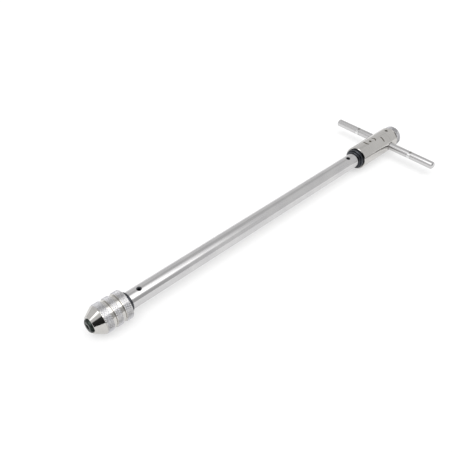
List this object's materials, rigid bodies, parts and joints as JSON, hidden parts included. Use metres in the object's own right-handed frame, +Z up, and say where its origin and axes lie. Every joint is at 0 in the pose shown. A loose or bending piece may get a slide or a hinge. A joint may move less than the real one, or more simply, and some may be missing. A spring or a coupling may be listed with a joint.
{
  "type": "tap wrench",
  "caption": "Long tap wrench: a knurled two-jaw chuck on an extension tube, a reversible ratchet head with a knurled selector knob, and a sliding cross bar.",
  "frame": {"origin": "bottom centre of the box around the wrench as it lies, with its cross bar level", "axes": "+X along the tube from the chuck towards the selector knob, +Y along the cross bar, +Z up"},
  "size_m": [0.2878, 0.0884, 0.0182],
  "materials": {
    "nickel_plated_steel": "bright nickel plate over turned and drawn steel, lightly brushed along the tube",
    "black_oxide_steel": "hardened steel with an oiled black oxide finish",
    "spring_steel": "plain hardened steel",
    "sintered_bronze": "oil-filled sintered bronze",
    "nitrile_rubber": "smooth black nitrile"
  },
  "bodies": {
    "spindle": {"extension_tube": "nickel_plated_steel", "chuck_body": "black_oxide_steel", "ratchet_spindle": "black_oxide_steel", "front_cross_pin": "black_oxide_steel", "rear_cross_pin": "black_oxide_steel", "spindle_circlip": "spring_steel", "jaw_spring": "spring_steel"},
    "sleeve_ring": {"sleeve_seal_ring": "nitrile_rubber"},
    "sleeve": {"chuck_sleeve": "nickel_plated_steel"},
    "upper_jaw": {"jaw_upper": "black_oxide_steel"},
    "lower_jaw": {"jaw_lower": "black_oxide_steel"},
    "head": {"ratchet_housing": "nickel_plated_steel", "front_bush": "sintered_bronze", "thrust_washer": "spring_steel", "pawl_carrier": "black_oxide_steel", "carrier_key_pin": "nickel_plated_steel", "stop_pin": "nickel_plated_steel", "pawl_spring_upper": "spring_steel", "pawl_spring_lower": "spring_steel"},
    "upper_pawl": {"pawl_upper": "black_oxide_steel"},
    "lower_pawl": {"pawl_lower": "black_oxide_steel"},
    "selector": {"selector_shaft": "nickel_plated_steel", "selector_knob": "nickel_plated_steel", "detent_ball": "spring_steel", "detent_spring": "spring_steel"},
    "handle": {"cross_bar": "nickel_plated_steel"}
  },
  "joints": [
    {"name": "sleeve_advance", "type": "slide", "parent": "spindle", "child": "sleeve_ring", "axis": [-1, 0, 0], "range_m": [0, 0.004]},
    {"name": "sleeve_turn", "type": "hinge", "parent": "sleeve_ring", "child": "sleeve", "pos_m": [-0.1305, 0.002, 0.0091], "axis": [-1, 0, 0], "range_deg": [0, 1440]},
    {"name": "upper_jaw_slide", "type": "slide", "parent": "spindle", "child": "upper_jaw", "axis": [0, 0, 1], "range_m": [0, 0.00128], "deforming": ["jaw_spring"]},
    {"name": "lower_jaw_slide", "type": "slide", "parent": "spindle", "child": "lower_jaw", "axis": [0, 0, -1], "range_m": [0, 0.00128]},
    {"name": "ratchet_spin", "type": "hinge", "parent": "spindle", "child": "head", "pos_m": [0.0953, 0.002, 0.0091], "axis": [1, 0, 0], "continuous": true},
    {"name": "selector_turn", "type": "hinge", "parent": "head", "child": "selector", "pos_m": [0.1388, 0.002, 0.0091], "axis": [1, 0, 0], "range_deg": [-25, 25]},
    {"name": "upper_pawl_lift", "type": "slide", "parent": "head", "child": "upper_pawl", "axis": [0, 0, 1], "range_m": [-0.00055, 0.00055], "deforming": ["pawl_spring_upper"]},
    {"name": "lower_pawl_lift", "type": "slide", "parent": "head", "child": "lower_pawl", "axis": [0, 0, 1], "range_m": [-0.00055, 0.00055], "deforming": ["pawl_spring_lower"]},
    {"name": "cross_bar_slide", "type": "slide", "parent": "head", "child": "handle", "axis": [0, 1, 0], "range_m": [-0.0129, 0.0169]}
  ],
  "couplings": [
    {"joint": "sleeve_advance", "follows": "sleeve_turn", "m_per_rad": 0.00015915},
    {"joint": "upper_jaw_slide", "follows": "sleeve_turn", "m_per_rad": 0.000050929},
    {"joint": "lower_jaw_slide", "follows": "sleeve_turn", "m_per_rad": 0.000050929},
    {"joint": "upper_pawl_lift", "follows": "selector_turn", "m_per_rad": 0.0012605},
    {"joint": "lower_pawl_lift", "follows": "selector_turn", "m_per_rad": 0.0012605}
  ]
}
